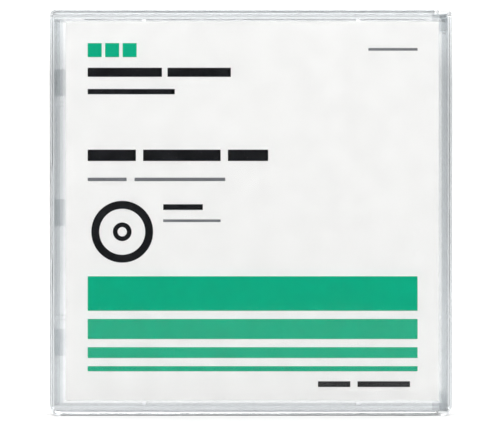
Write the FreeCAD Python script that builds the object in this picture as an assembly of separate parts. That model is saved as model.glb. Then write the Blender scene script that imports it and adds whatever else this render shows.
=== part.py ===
# A single-reel half-inch data tape cartridge in its clear hinged storage case.
# Millimetres. +X is to the right of the front, +Y runs from the front of the case to its back, +Z is up.
# The origin is at the middle of the underside of the case, which stands on its lower edge.
# The reel sizes the cartridge, and the cartridge sizes the case.

import FreeCAD, Part

import math
import os

from FreeCAD import Vector

weld = 0.5               # how far a detail reaches into the body that carries it
over = 1.0               # how far a cut runs past the face that it opens

# Reel
tape_width = 12.65
tape_play = 0.25         # width between the flanges, over the width of the tape
flange_radius = 48.2
lower_flange = 1.3
upper_flange = 1.2
pack_margin = 1.35       # from the edge of the flanges to the wound tape
hub_web = 2.2
hub_wall = 3.4
web_below_flange = 0.5
web_bore_radius = 3.0
reel_seat_height = 0.3
reel_seat_width = 2.0
reel_seat_gap = 0.1
tooth_root = 0.05        # depth of each tooth's root inside its ring

# Drive teeth and clutch plate
drive_teeth = 60
drive_tooth_inner = 12.4
drive_tooth_outer = 16.2
drive_tooth_height = 1.2
drive_opening_gap = 1.2  # from the drive teeth to the edge of the shell's opening
opening_step_width = 1.8 # shallow step round that opening, outside
opening_step_depth = 0.4
clutch_gap = 1.0         # from the drive teeth to the clutch plate
clutch_inner_radius = 4.2
clutch_thickness = 0.8

# Reel brake and its release plate
brake_teeth = 36         # a multiple of 12
brake_tooth_inner = 16.2
brake_tooth_outer = 18.2
brake_tooth_height = 1.2
brake_tooth_gap = 0.12
hub_bore_gap = 0.4       # from the brake teeth to the hub's bore
brake_disc_thickness = 2.0
brake_rim_clearance = 0.3
brake_boss_radius = 5.0
brake_boss_height = 6.6
brake_travel = 1.5
brake_pocket_floor = 2.7
cross_length = 7.0
cross_width = 1.4
cross_clearance = 0.15
cross_spare = 0.5        # left under the tip when the brake is lifted
brake_nub_radius = 2.2
plate_edge_gap = 0.6     # from the release plate to the brake teeth
plate_thickness = 0.9
plate_gap = 0.1          # under the release plate, and between it and the brake
leg_count = 3
leg_radius = 1.3
leg_clearance = 0.2
leg_inset = 0.3          # from the edge of the release plate
leg_recess = 0.1
spring_wire = 0.8
spring_coil_radius = 7.6
spring_turns = 3
spring_seat_gap = 1.2
spring_seat_wall = 0.8
spring_seat_height = 1.0
spring_gap = 0.1

# Cartridge, outside
shell_wall = 2.0
shell_panel = 1.6
reel_side_gap = 0.8      # between the flanges and each side wall
reel_rear_gap = 1.0      # between the flanges and the rear wall
reel_nose_gap = 4.0      # between the flanges and the front wall
reel_top_gap = 2.0       # between the upper flange and the upper panel
cart_corner_radius = 2.0
cart_edge_radius = 0.8
inner_corner_radius = 0.5
guide_corner_x = 4.0     # slanted corner that keys the cartridge
guide_corner_z = 9.0
lower_shell_depth = 10.5
tongue_thickness = 0.7
tongue_height = 1.0
tongue_clearance = 0.1
label_recess = 0.4
label_recess_side = 12.0
label_recess_length = 54.0
label_recess_rear = 8.0
label_recess_radius = 1.5
arrow_length = 4.5       # moulded arrow that shows which end goes in first
arrow_width = 6.0
arrow_front = 6.0
arrow_depth = 0.25
spine_recess_left = 17.0 # label recess in the rear wall, from the sides and the panels
spine_recess_right = 7.0
spine_recess_margin = 2.2
spine_recess_depth = 0.3
grip_count = 6
grip_pitch = 2.2
grip_width = 1.1
grip_depth = 0.5
grip_rear = 20.0
notch_depth = 1.2
notch_length = 7.0
notch_rear = 38.0
datum_radius = 2.6
datum_depth = 1.0
datum_side = 14.0
datum_front = 13.0
datum_slot_length = 7.4

# Cartridge screws, placed from the nearest edges
screw_radius = 1.05
screw_clearance = 0.25
thread_clearance = 0.05
screw_head_radius = 2.1
screw_head_height = 1.4
screw_head_clearance = 0.25
screw_length = 14.0
screw_recess_width = 0.6
screw_recess_span = 2.4
screw_recess_depth = 0.7
screw_tip_room = 0.6
post_wall = 0.45         # round the screw's head
screw_rear_side = 5.5
screw_rear = 14.0
screw_left_side = 7.0
screw_left_front = 10.4
screw_right_side = 17.5
screw_right_front = 4.0

# Tape door
door_thickness = 1.1
door_clearance = 0.15
door_length = 22.5
door_front_gap = 0.3
door_height_play = 0.2
door_travel = 21.0
door_skin = 0.6          # what is left of the side wall outside the door's channel
door_window_front = 3.9  # from the front edge
door_window_length = 19.5
door_window_margin = 0.7 # from the inside of each panel
door_channel_spare = 1.6
door_groove_width = 1.2
door_groove_depth = 0.4
door_groove_front = 3.0
door_spring_wire = 0.3
door_spring_radius = 0.7
door_spring_turns = 12
door_spring_length = 46.0
door_spring_depth = 7.7  # from the outside of the lower shell to the spring's axis

# Leader pin
leader_side = 10.0       # from the cartridge's right side
leader_front = 9.4       # from its front edge
leader_radius = 1.5
leader_neck_radius = 1.1
leader_neck = 1.6
leader_disc_radius = 2.7
leader_disc = 1.3
leader_overhang = 1.62   # the pin is this much longer than the tape is wide, at each end
socket_gap = 0.35
socket_wall = 1.0
socket_height = 1.9
socket_mouth = 6.4
socket_turn_deg = 20.0   # the mouth points this far to the rear of straight sideways
clip_gap = 0.1
clip_thickness = 0.25
clip_opening_deg = 130.0
leader_film = 0.12
leader_film_gap = 0.3    # between the wound tape and the start of the free stretch
leader_wrap_gap = 0.05   # between the pin and the tape round it

# Write-protect switch
switch_side = 9.0        # from the cartridge's left side
switch_length = 8.0
switch_height = 6.4
switch_thickness = 1.6
switch_gap = 0.15
knob_length = 4.0
knob_height = 4.4
knob_recess = 0.4
knob_clearance = 0.2
switch_travel = 3.5
switch_depth = 6.2       # from the outside of the lower shell to the middle of the switch
switch_keeper = 0.8      # rib behind the switch
switch_keeper_reach = 1.6

# Memory module
memory_side = 15.0       # from the cartridge's right side
memory_length = 10.0
memory_width = 9.0
memory_thickness = 1.0
memory_wedge = 7.0
memory_rib = 1.0
memory_rib_inset = 0.5

# Insert card
card_margin_left = 4.4   # margins to the outside of the case
card_margin_right = 3.7
card_margin_bottom = 4.2
card_margin_top = 3.4
card_thickness = 0.3
card_play = 0.1          # between the lid's plate and the card
tab_play = 0.05
ink = 0.05

# Case
case_side_room = 4.9     # from the cartridge to the outside of the case
case_bottom_room = 4.3
case_top_room = 3.3
cart_gap = 0.35          # between the lid's tabs and the cartridge
lid_plate = 1.3
lid_wall = 1.2
base_plate = 1.3
base_wall = 1.1
nest_gap = 0.35          # between the lid's long walls and the base's walls inside them
side_gap = 0.45          # the same on the short sides
front_gap = 0.6          # between the lid's plate and the front edges of the base's walls
seam_gap = 0.3           # between edges of the two halves that face each other
hinge_seam_gap = 0.8     # the same beside the hinge, where the lid's wall swings past
rim_depth = 3.7          # the lid's short wall on its opening side, with its plate
spine_gap = 0.8          # between the lid's plate and the base's wall by the hinge
top_corner_radius = 1.2
bottom_corner_radius = 2.5
front_edge_radius = 0.35
back_edge_radius = 0.3

# Case hinge
ear_radius = 1.9         # rounded end of the lid's long walls, about the hinge axis
hinge_pin_radius = 0.9
hinge_pin_clearance = 0.05
hinge_wall_room = 3.0    # from the hinge axis to the end of the lid's wall there, which swings round it
corner_cutout = 6.4      # the base's inner wall on the hinge side stops this far from the case's ends

# Case, card tabs and cartridge rests
tab_width = 7.4
tab_length = 4.9
tab_thickness = 0.8
tab_pitch = 36.1
tab_corner_radius = 1.5
corner_tab_width = 4.3
tab_clearance = 0.4
rest_height = 0.7        # ribs on the base's plate that the cartridge lies against
rest_width = 1.6
rest_side = 19.0         # from the cartridge's sides
rest_end_margin = 14.0
hub_ring_gap = 3.6       # from the edge of the drive's opening to the outside of the ring
guide_rib = 1.2
guide_rib_spacing = 60.0
guide_gap = 0.3
guide_depth = 15.0       # from the base's plate
scoop_radius = 8.0
scoop_depth = 0.6
scoop_length = 26.0
scoop_middle = 4.0       # behind the lid's rim
detent_radius = 0.12
detent_inset = 0.9       # from the edge of the lid's rim
detent_length = 8.0
detent_spacing = 70.0
gate_radius = 2.2        # dimple round the moulding gate, in the middle of the base's back
gate_depth = 0.25

# Printed fields on the card
field_left = 6.1
field_right = 5.9
marker_count = 3
reel_sign_radius = 8.6
reel_sign_left = 1.0
reel_sign_stroke = 2.2
reel_sign_hub_radius = 2.6
reel_sign_hub_stroke = 1.3

# Places and sizes of the print as shares: across, in hundredths of the printed width,
# and down, in hundredths of the card's height
stripe_start_share = 67.2
stripe_shares = [9.1, 5.3, 2.85, 1.35]
stripe_space_share = 2.15
marker_start_share = 5.7
marker_down_share = 3.7
marker_across_share = 4.25
marker_step_share = 5.3
reel_sign_start_share = 47.3
dark_row_shares = [
    (12.2, 2.4, [(0, 22.5), (24.2, 19.2)]),
    (17.8, 1.4, [(0, 26.4)]),
    (33.8, 3.0, [(0, 14.6), (16.8, 23.5), (42.5, 12.2)]),
    (48.2, 1.5, [(22.9, 12.0)]),
    (94.9, 1.5, [(69.8, 9.8), (81.8, 15.9)]),
]
grey_row_shares = [
    (7.0, 0.7, [(85.1, 14.9)]),
    (41.2, 0.9, [(0, 11.8), (14.2, 27.5)]),
    (52.2, 0.7, [(22.9, 17.4)]),
]

# Values worked out from those above, for the hub
pack_radius = flange_radius - pack_margin
drive_opening_radius = drive_tooth_outer + drive_opening_gap
clutch_outer_radius = drive_tooth_inner - clutch_gap
hub_bore_radius = brake_tooth_outer + hub_bore_gap
hub_radius = hub_bore_radius + hub_wall
plate_radius = brake_tooth_inner - plate_edge_gap
leg_circle_radius = plate_radius - leg_inset - leg_radius
spring_seat_radius = spring_coil_radius - spring_wire / 2 - spring_seat_gap

# For the outside of the cartridge and of the case
cart_width = 2 * (flange_radius + reel_side_gap + shell_wall)
cart_length = 2 * flange_radius + reel_rear_gap + reel_nose_gap + 2 * shell_wall
reel_height = web_below_flange + lower_flange + tape_width + tape_play + upper_flange
cart_thickness = 2 * shell_panel + reel_seat_height + reel_seat_gap + reel_height + reel_top_gap
card_room = card_play + card_thickness + tab_play + tab_thickness + cart_gap
case_width = cart_width + 2 * case_side_room
case_height = case_bottom_room + cart_length + case_top_room
case_depth = lid_plate + card_room + cart_thickness + rest_height + base_plate

# For the case
x_edge = case_width / 2
y_front = -case_depth / 2
y_back = case_depth / 2
mid_z = case_height / 2
far = case_width + case_height
lid_inside_y = y_front + lid_plate
base_inside_y = y_back - base_plate
lid_inside_x = x_edge - lid_wall
base_outside_x = lid_inside_x - side_gap
base_inside_x = base_outside_x - base_wall
base_low_z = lid_wall + nest_gap
base_floor_z = base_low_z + base_wall
lid_back_y = base_inside_y - seam_gap
rim_back_y = y_front + rim_depth
base_front_y = lid_inside_y + front_gap
hinge_x = x_edge - ear_radius
hinge_y = y_back - ear_radius
lid_wall_end_y = hinge_y - hinge_wall_room

# For the card
card_front_y = lid_inside_y + card_play
card_left = -x_edge + card_margin_left
card_right = x_edge - card_margin_right
card_bottom = card_margin_bottom
card_top = case_height - card_margin_top
field = card_right - card_left - field_left - field_right
tab_front_y = card_front_y + card_thickness + tab_play
tab_back_y = tab_front_y + tab_thickness
tab_room_y = tab_back_y + tab_clearance

# For the cartridge
cart_left = -cart_width / 2
cart_right = cart_width / 2
cart_rear_z = case_bottom_room
cart_front_z = cart_rear_z + cart_length
cart_bottom_y = base_inside_y - rest_height
cart_top_y = cart_bottom_y - cart_thickness
split_y = cart_bottom_y - lower_shell_depth
roof_y = cart_top_y + shell_panel
floor_y = cart_bottom_y - shell_panel
inner_right = cart_right - shell_wall
inner_rear_z = cart_rear_z + shell_wall
inner_front_z = cart_front_z - shell_wall
post_radius = screw_head_radius + screw_head_clearance + post_wall
screw_places = [
    (cart_left + screw_rear_side, cart_rear_z + screw_rear),
    (cart_right - screw_rear_side, cart_rear_z + screw_rear),
    (cart_left + screw_left_side, cart_front_z - screw_left_front),
    (cart_right - screw_right_side, cart_front_z - screw_right_front),
]

# For the reel
reel_z = inner_rear_z + reel_rear_gap + flange_radius
web_bottom_y = floor_y - reel_seat_height - reel_seat_gap
web_top_y = web_bottom_y - hub_web
lower_flange_bottom_y = web_bottom_y - web_below_flange
lower_flange_top_y = lower_flange_bottom_y - lower_flange
upper_flange_bottom_y = lower_flange_top_y - tape_width - tape_play
upper_flange_top_y = upper_flange_bottom_y - upper_flange
tape_low_y = lower_flange_top_y - tape_play / 2
tape_high_y = tape_low_y - tape_width
brake_tooth_tip_y = web_top_y - brake_tooth_gap / 2
brake_disc_bottom_y = web_top_y - brake_tooth_height - brake_tooth_gap
brake_disc_top_y = brake_disc_bottom_y - brake_disc_thickness
boss_top_y = brake_disc_top_y - brake_boss_height
pocket_floor_y = brake_disc_bottom_y - brake_pocket_floor
cross_tip_y = pocket_floor_y - brake_travel - cross_spare
plate_bottom_y = web_top_y - plate_gap
plate_top_y = plate_bottom_y - plate_thickness

# For the door, the leader pin and the switch
channel_x = cart_right - door_skin
door_outer_x = channel_x - door_clearance
door_inner_x = door_outer_x - door_thickness
door_front_z = inner_front_z - door_front_gap
door_rear_z = door_front_z - door_length
channel_rear_z = door_rear_z - door_travel - door_channel_spare
window_front_z = cart_front_z - door_window_front
window_rear_z = window_front_z - door_window_length
door_spring_y = cart_bottom_y - door_spring_depth
leader_x = cart_right - leader_side
leader_z = cart_front_z - leader_front
leader_low_y = tape_low_y + leader_overhang
leader_high_y = tape_high_y - leader_overhang
socket_inner_radius = leader_disc_radius + clip_gap + clip_thickness + socket_gap
switch_x = cart_left + switch_side
switch_y = cart_bottom_y - switch_depth
memory_x = cart_right - memory_side


def box(x0, x1, y0, y1, z0, z1):
    return Part.makeBox(x1 - x0, y1 - y0, z1 - z0, Vector(x0, y0, z0))


def round_y(radius, x, z, y0, y1):
    """A cylinder that runs front to back."""
    return Part.makeCylinder(radius, y1 - y0, Vector(x, y0, z), Vector(0, 1, 0))


def round_z(radius, x, y, z0, z1):
    """A cylinder that stands upright."""
    return Part.makeCylinder(radius, z1 - z0, Vector(x, y, z0))


def ring_y(outer, inner, x, z, y0, y1):
    return round_y(outer, x, z, y0, y1).cut(round_y(inner, x, z, y0 - over, y1 + over))


def fuse(shapes):
    whole = shapes[0]
    for piece in shapes[1:]:
        whole = whole.fuse(piece)
    return whole.removeSplitter()


def cut(shape, pieces):
    for piece in pieces:
        shape = shape.cut(piece)
    return shape


def both_ends(shape):
    """The shape and its mirror image at the other end of the case."""
    return [shape, shape.mirror(Vector(0, 0, mid_z), Vector(0, 0, 1))]


def outline(x0, z0, x1, z1, corners):
    """A closed wire in the XZ plane. The corners are radii: rear left, rear right, front right, front left.
    A pair in place of a radius is a slanted corner, given by its run along X and along Z."""
    places = [(x0, z0, 1, 1), (x1, z0, -1, 1), (x1, z1, -1, -1), (x0, z1, 1, -1)]
    ends = []
    for k, (x, z, sx, sz) in enumerate(places):
        corner = corners[k]
        run_x, run_z = corner if isinstance(corner, tuple) else (corner, corner)
        on_x = Vector(x + sx * run_x, 0, z)
        on_z = Vector(x, 0, z + sz * run_z)
        first, last = (on_z, on_x) if k % 2 == 0 else (on_x, on_z)
        ends.append((first, last, corner, Vector(x + sx * run_x, 0, z + sz * run_z), Vector(x, 0, z)))
    edges = []
    for k, (first, last, corner, centre, tip) in enumerate(ends):
        if isinstance(corner, tuple):
            edges.append(Part.makeLine(first, last))
        elif corner > 0:
            middle = centre + (tip - centre).normalize() * corner
            edges.append(Part.Arc(first, middle, last).toShape())
        edges.append(Part.makeLine(last, ends[(k + 1) % 4][0]))
    return Part.Wire(edges)


def slab(wire, y0, y1):
    """A wire in the XZ plane, made solid from y0 to y1."""
    face = Part.Face(wire)
    face.translate(Vector(0, y0, 0))
    return face.extrude(Vector(0, y1 - y0, 0))


def soften(shape, y, radius):
    """Rounds the edges that lie wholly in the plane at y."""
    edges = [e for e in shape.Edges if all(abs(v.Y - y) < 1e-6 for v in e.Vertexes)]
    return shape.makeFillet(radius, edges)


def case_outline():
    radii = [bottom_corner_radius, bottom_corner_radius, top_corner_radius, top_corner_radius]
    return outline(-x_edge, 0, x_edge, case_height, radii)


def card_tabs():
    """Tabs on the lid that hold the card: three on the opening side, one in each corner by the hinge."""
    tabs = []
    for k in (-1, 0, 1):
        middle = mid_z + k * tab_pitch
        wire = outline(
            -lid_inside_x - weld, middle - tab_width / 2,
            -lid_inside_x + tab_length, middle + tab_width / 2,
            [0, tab_corner_radius, tab_corner_radius, 0],
        )
        tabs.append(slab(wire, tab_front_y, tab_back_y))
    corner = outline(
        lid_inside_x - corner_tab_width, lid_wall - weld,
        lid_inside_x + weld, corner_cutout - seam_gap,
        [0, 0, 0, tab_corner_radius],
    )
    return tabs + both_ends(slab(corner, tab_front_y, tab_back_y))


def case_lid():
    """Front cover with long walls above and below, a full wall on the hinge side and a short rim opposite."""
    shell = soften(slab(case_outline(), y_front, lid_back_y), y_front, front_edge_radius)
    shell = shell.cut(box(-lid_inside_x, lid_inside_x, lid_inside_y, far, lid_wall, case_height - lid_wall))
    long_side = (lid_wall, case_height - lid_wall)
    shell = shell.cut(box(-far, -base_inside_x, rim_back_y, far, *long_side))
    shell = shell.cut(box(lid_inside_x - seam_gap, far, lid_wall_end_y, far, *long_side))
    ear = round_z(ear_radius, hinge_x, hinge_y, 0, lid_wall)
    ears = [e.common(slab(case_outline(), y_front, y_back)) for e in both_ends(ear)]
    pins = both_ends(round_z(hinge_pin_radius, hinge_x, hinge_y, lid_wall - weld, base_floor_z))
    detent = round_z(detent_radius, -lid_inside_x, rim_back_y - detent_inset, 0, detent_length)
    detents = []
    for middle in (mid_z - detent_spacing / 2, mid_z + detent_spacing / 2):
        detents.append(detent.translated(Vector(0, 0, middle - detent_length / 2)))
    return fuse([shell] + ears + pins + detents + card_tabs())


def stepped_wall(side, step_y, front_y, end):
    """A wall on one short side of the base. It is flush with the lid behind the step at step_y, and inside
    the lid's wall in front of it, down to front_y and to that far from the case's ends."""
    low, high = base_low_z, case_height - base_low_z
    x_outer, x_middle = side * x_edge, side * base_outside_x
    full = sorted((x_outer, side * base_inside_x))
    outer = box(*sorted((x_outer, side * (x_edge - base_wall))), step_y, base_inside_y, low, high)
    shoulder = box(*full, step_y, step_y + base_wall, low, high)
    lip = box(*sorted((x_middle, side * base_inside_x)), front_y, step_y + base_wall, end, case_height - end)
    filler = box(*full, step_y, base_inside_y, low, base_floor_z)
    return [outer, shoulder, lip] + both_ends(filler)


def base_walls():
    """The base's walls: long ones inside the lid's, and a stepped one on each short side."""
    floor = box(-base_outside_x, base_outside_x, base_front_y, base_inside_y, base_low_z, base_floor_z)
    opening_side = stepped_wall(-1, rim_back_y + seam_gap, base_front_y, base_low_z)
    hinge_side = stepped_wall(1, lid_wall_end_y + hinge_seam_gap, lid_inside_y + spine_gap, corner_cutout)
    return both_ends(floor) + opening_side + hinge_side


def cartridge_rests():
    """Ribs in the base that carry the cartridge and keep it from rattling."""
    span = (base_inside_y - rest_height, base_inside_y)
    rests = []
    hub_ring_radius = drive_opening_radius + hub_ring_gap
    for middle in (cart_left + rest_side, cart_right - rest_side):
        rests.append(box(middle - rest_width / 2, middle + rest_width / 2, *span,
                         base_floor_z + rest_end_margin, case_height - base_floor_z - rest_end_margin))
    rests.append(ring_y(hub_ring_radius, hub_ring_radius - rest_width, 0, reel_z, *span))
    depth = (base_inside_y - guide_depth, base_inside_y)
    middle = cart_rear_z + cart_length / 2
    for side in (-1, 1):
        z = middle + side * guide_rib_spacing / 2
        height = (z - guide_rib / 2, z + guide_rib / 2)
        rests.append(box(-x_edge + base_wall - weld, cart_left - guide_gap, *depth, *height))
        rests.append(box(cart_right + guide_gap, base_inside_x + weld, *depth, *height))
        x = side * guide_rib_spacing / 2
        width = (x - guide_rib / 2, x + guide_rib / 2)
        rests.append(box(*width, *depth, cart_front_z + guide_gap, case_height - base_floor_z + weld))
        rests.append(box(*width, *depth, base_floor_z - weld, cart_rear_z))
    return rests


def case_base():
    """Back half of the case: a plate with walls that nest in the lid, bored for the lid's hinge pins."""
    plate = soften(slab(case_outline(), base_inside_y, y_back), y_back, back_edge_radius)
    ear_room = box(hinge_x - ear_radius - nest_gap, far, -far, far, -far, base_low_z)
    plate = cut(plate, both_ends(ear_room))
    body = fuse([plate] + base_walls() + cartridge_rests()).common(slab(case_outline(), y_front, y_back))
    bore_end = base_floor_z + hinge_pin_clearance
    bore = round_z(hinge_pin_radius + hinge_pin_clearance, hinge_x, hinge_y, 0, bore_end)
    scoop = round_z(
        scoop_radius, -x_edge + scoop_depth - scoop_radius, rim_back_y + scoop_middle,
        mid_z - scoop_length / 2, mid_z + scoop_length / 2,
    )
    tab_edge = lid_inside_x - corner_tab_width
    corner_room = box(tab_edge - tab_clearance, far, -far, tab_room_y, 0, corner_cutout)
    rooms = []
    for k in (-1, 0, 1):
        z = mid_z + k * tab_pitch
        reach = tab_width / 2 + tab_clearance
        rooms.append(box(-far, -base_inside_x + over, -far, tab_room_y, z - reach, z + reach))
    gate = round_y(gate_radius, 0, mid_z, y_back - gate_depth, far)
    return cut(body, [scoop, gate] + both_ends(bore) + both_ends(corner_room) + rooms)


def insert_card():
    wire = outline(card_left, card_bottom, card_right, card_top, [0, 0, 0, 0])
    return slab(wire, card_front_y, card_front_y + card_thickness)


def bar(left, top, width, height):
    """A printed bar, with its place and width across in hundredths of the field, the rest of the height."""
    down = (card_top - card_bottom) / 100
    x0 = card_left + field_left + left * field / 100
    z1 = card_top - top * down
    return box(x0, x0 + width * field / 100, card_front_y - ink, card_front_y, z1 - height * down, z1)


def printed_rows(rows):
    """One bar for each word of each row."""
    return [bar(left, top, width, height) for top, height, words in rows for left, width in words]


def card_print_green():
    """Four stripes that thin out downwards, and a row of small squares in the upper left corner."""
    shapes = []
    top = stripe_start_share
    for height in stripe_shares:
        shapes.append(bar(0, top, 100, height))
        top += height + stripe_space_share
    for k in range(marker_count):
        shapes.append(bar(k * marker_step_share, marker_start_share, marker_across_share, marker_down_share))
    return Part.makeCompound(shapes)


def card_print_dark():
    """Bars where heavy words stand, and a plain sign of a tape reel."""
    shapes = printed_rows(dark_row_shares)
    x = card_left + field_left + reel_sign_left + reel_sign_radius
    z = card_top - reel_sign_start_share * (card_top - card_bottom) / 100 - reel_sign_radius
    signs = ((reel_sign_radius, reel_sign_stroke), (reel_sign_hub_radius, reel_sign_hub_stroke))
    for radius, stroke in signs:
        shapes.append(ring_y(radius, radius - stroke, x, z, card_front_y - ink, card_front_y))
    return Part.makeCompound(shapes)


def card_print_grey():
    """Thin bars where light words stand."""
    return Part.makeCompound(printed_rows(grey_row_shares))


def shell_outline(inset=0.0):
    """The cartridge seen from above, or a line that far inside it."""
    radius = max(cart_corner_radius - inset, inner_corner_radius)
    slope = math.hypot(guide_corner_x, guide_corner_z)
    shrink_x = inset * (guide_corner_x + guide_corner_z - slope) / guide_corner_z
    shrink_z = inset * (guide_corner_x + guide_corner_z - slope) / guide_corner_x
    slant = (guide_corner_x - shrink_x, guide_corner_z - shrink_z)
    return outline(
        cart_left + inset, cart_rear_z + inset, cart_right - inset, cart_front_z - inset,
        [radius, radius, radius, slant],
    )


def side_cuts(y0, y1):
    """Grip grooves, a picker notch, the rear label recess, the door's window and its channel."""
    shapes = []
    for k in range(grip_count):
        z = cart_rear_z + grip_rear + k * grip_pitch
        shapes.append(box(-far, cart_left + grip_depth, y0, y1, z, z + grip_width))
        shapes.append(box(cart_right - grip_depth, far, y0, y1, z, z + grip_width))
    z = cart_rear_z + notch_rear
    shapes.append(box(-far, cart_left + notch_depth, y0, y1, z, z + notch_length))
    return shapes + [
        box(cart_left + spine_recess_left, cart_right - spine_recess_right,
            cart_top_y + spine_recess_margin, cart_bottom_y - spine_recess_margin,
            -far, cart_rear_z + spine_recess_depth),
        box(inner_right - over, far, roof_y + door_window_margin, floor_y - door_window_margin,
            window_rear_z, window_front_z),
        box(inner_right - over, channel_x, roof_y, floor_y, channel_rear_z, inner_front_z),
    ]


def leader_socket(y0, y1):
    """An open collar round one end of the leader pin, with its mouth towards the door."""
    collar = ring_y(socket_inner_radius + socket_wall, socket_inner_radius, leader_x, leader_z, y0, y1)
    mouth = box(0, far, y0 - over, y1 + over, -socket_mouth / 2, socket_mouth / 2)
    mouth.translate(Vector(leader_x, 0, leader_z))
    mouth.rotate(Vector(leader_x, 0, leader_z), Vector(0, 1, 0), socket_turn_deg)
    return collar.cut(mouth)


def upper_shell():
    """Upper half of the cartridge: panel, walls, a tongue round its edge, screw posts, the brake's cross."""
    shell = soften(slab(shell_outline(), cart_top_y, split_y), cart_top_y, cart_edge_radius)
    shell = shell.cut(slab(shell_outline(shell_wall), roof_y, far))
    tongue = slab(shell_outline(shell_wall - tongue_thickness), split_y - weld, split_y + tongue_height)
    tongue = tongue.cut(slab(shell_outline(shell_wall), -far, far))
    posts = [round_y(post_radius, x, z, roof_y - weld, split_y) for x, z in screw_places]
    cross = [
        box(-a / 2, a / 2, roof_y - weld, cross_tip_y, reel_z - b / 2, reel_z + b / 2)
        for a, b in ((cross_length, cross_width), (cross_width, cross_length))
    ]
    seat = ring_y(spring_seat_radius, spring_seat_radius - spring_seat_wall, 0, reel_z,
                  roof_y - weld, roof_y + spring_seat_height)
    socket = leader_socket(roof_y - weld, roof_y + socket_height)
    shell = fuse([shell, tongue, seat, socket] + posts + cross)
    hole = screw_radius + thread_clearance
    tip = cart_bottom_y - screw_length - screw_tip_room
    holes = [round_y(hole, x, z, tip, split_y + over) for x, z in screw_places]
    recess_rear = cart_rear_z + label_recess_rear
    recess = outline(
        cart_left + label_recess_side, recess_rear, cart_right - label_recess_side,
        recess_rear + label_recess_length, [label_recess_radius] * 4,
    )
    recess = slab(recess, cart_top_y - over, cart_top_y + label_recess)
    tip_z = cart_front_z - arrow_front
    arrow = [
        Vector(0, 0, tip_z), Vector(arrow_width / 2, 0, tip_z - arrow_length),
        Vector(-arrow_width / 2, 0, tip_z - arrow_length),
    ]
    arrow = slab(Part.makePolygon(arrow + arrow[:1]), cart_top_y - over, cart_top_y + arrow_depth)
    return cut(shell, side_cuts(-far, far) + holes + [recess, arrow])


def switch_keeper_rib():
    """A rib behind the write-protect switch that keeps it against the rear wall."""
    z = inner_rear_z + switch_gap + switch_thickness + switch_gap
    half = (switch_length + switch_travel) / 2
    middle = switch_x + switch_travel / 2
    low = switch_y - switch_keeper_reach
    return box(middle - half, middle + half, low, floor_y + weld, z, z + switch_keeper)


def memory_wedges():
    """Two slanted ribs that hold the memory module between the rear wall and the floor."""
    wedges = []
    first = memory_x - memory_length / 2 + memory_rib_inset
    last = memory_x + memory_length / 2 - memory_rib_inset - memory_rib
    for x in (first, last):
        corners = [
            Vector(x, floor_y + weld, inner_rear_z - weld),
            Vector(x, floor_y + weld, inner_rear_z + memory_wedge - weld),
            Vector(x, floor_y - memory_wedge + weld, inner_rear_z - weld),
        ]
        face = Part.Face(Part.makePolygon(corners + corners[:1]))
        wedges.append(face.extrude(Vector(memory_rib, 0, 0)))
    return wedges


def lower_shell():
    """Lower half of the cartridge: floor with the drive's opening, walls, screw posts and small holders."""
    shell = soften(slab(shell_outline(), split_y, cart_bottom_y), cart_bottom_y, cart_edge_radius)
    shell = shell.cut(slab(shell_outline(shell_wall), -far, floor_y))
    posts = [round_y(post_radius, x, z, split_y, floor_y + weld) for x, z in screw_places]
    seat = ring_y(drive_opening_radius + reel_seat_width, drive_opening_radius, 0, reel_z,
                  floor_y - reel_seat_height, floor_y + weld)
    socket = leader_socket(floor_y - socket_height, floor_y + weld)
    shell = fuse([shell, seat, socket, switch_keeper_rib()] + posts + memory_wedges())
    rebate = slab(shell_outline(shell_wall - tongue_thickness - tongue_clearance), split_y - over,
                  split_y + tongue_height + tongue_clearance)
    rebate = rebate.cut(slab(shell_outline(shell_wall), -far, far))
    holes = []
    for x, z in screw_places:
        holes.append(round_y(screw_radius + screw_clearance, x, z, -far, far))
        head = screw_head_radius + screw_head_clearance
        holes.append(round_y(head, x, z, cart_bottom_y - screw_head_height - screw_head_clearance, far))
    datum_z = cart_front_z - datum_front
    holes.append(round_y(datum_radius, cart_left + datum_side, datum_z, cart_bottom_y - datum_depth, far))
    slot_middle = cart_right - datum_side
    slot_half = datum_slot_length / 2 - datum_radius
    for x in (slot_middle - slot_half, slot_middle + slot_half):
        holes.append(round_y(datum_radius, x, datum_z, cart_bottom_y - datum_depth, far))
    holes.append(box(slot_middle - slot_half, slot_middle + slot_half, cart_bottom_y - datum_depth, far,
                     datum_z - datum_radius, datum_z + datum_radius))
    half = (knob_length + switch_travel) / 2 + knob_clearance
    middle = switch_x + switch_travel / 2
    reach = knob_height / 2 + knob_clearance
    depth = (switch_y - reach, switch_y + reach)
    window = box(middle - half, middle + half, *depth, -far, inner_rear_z + switch_gap)
    spring_room = door_spring_radius + door_clearance
    groove = box(inner_right - over, channel_x, door_spring_y - spring_room, door_spring_y + spring_room,
                 door_rear_z - door_spring_length - spring_gap, channel_rear_z + over)
    opening = round_y(drive_opening_radius, 0, reel_z, -far, far)
    step_radius = drive_opening_radius + opening_step_width
    step = round_y(step_radius, 0, reel_z, cart_bottom_y - opening_step_depth, far)
    return cut(shell, side_cuts(-far, far) + holes + [rebate, window, groove, opening, step])


def shell_screws():
    screws = []
    for x, z in screw_places:
        top = cart_bottom_y - screw_head_clearance
        head = round_y(screw_head_radius, x, z, top - screw_head_height, top)
        shank = round_y(screw_radius, x, z, cart_bottom_y - screw_length, top - screw_recess_depth)
        screw = fuse([head, shank])
        a, b = screw_recess_span / 2, screw_recess_width / 2
        for dx, dz in ((a, b), (b, a)):
            screw = screw.cut(box(x - dx, x + dx, top - screw_recess_depth, far, z - dz, z + dz))
        screws.append(screw)
    return Part.makeCompound(screws)


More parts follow.
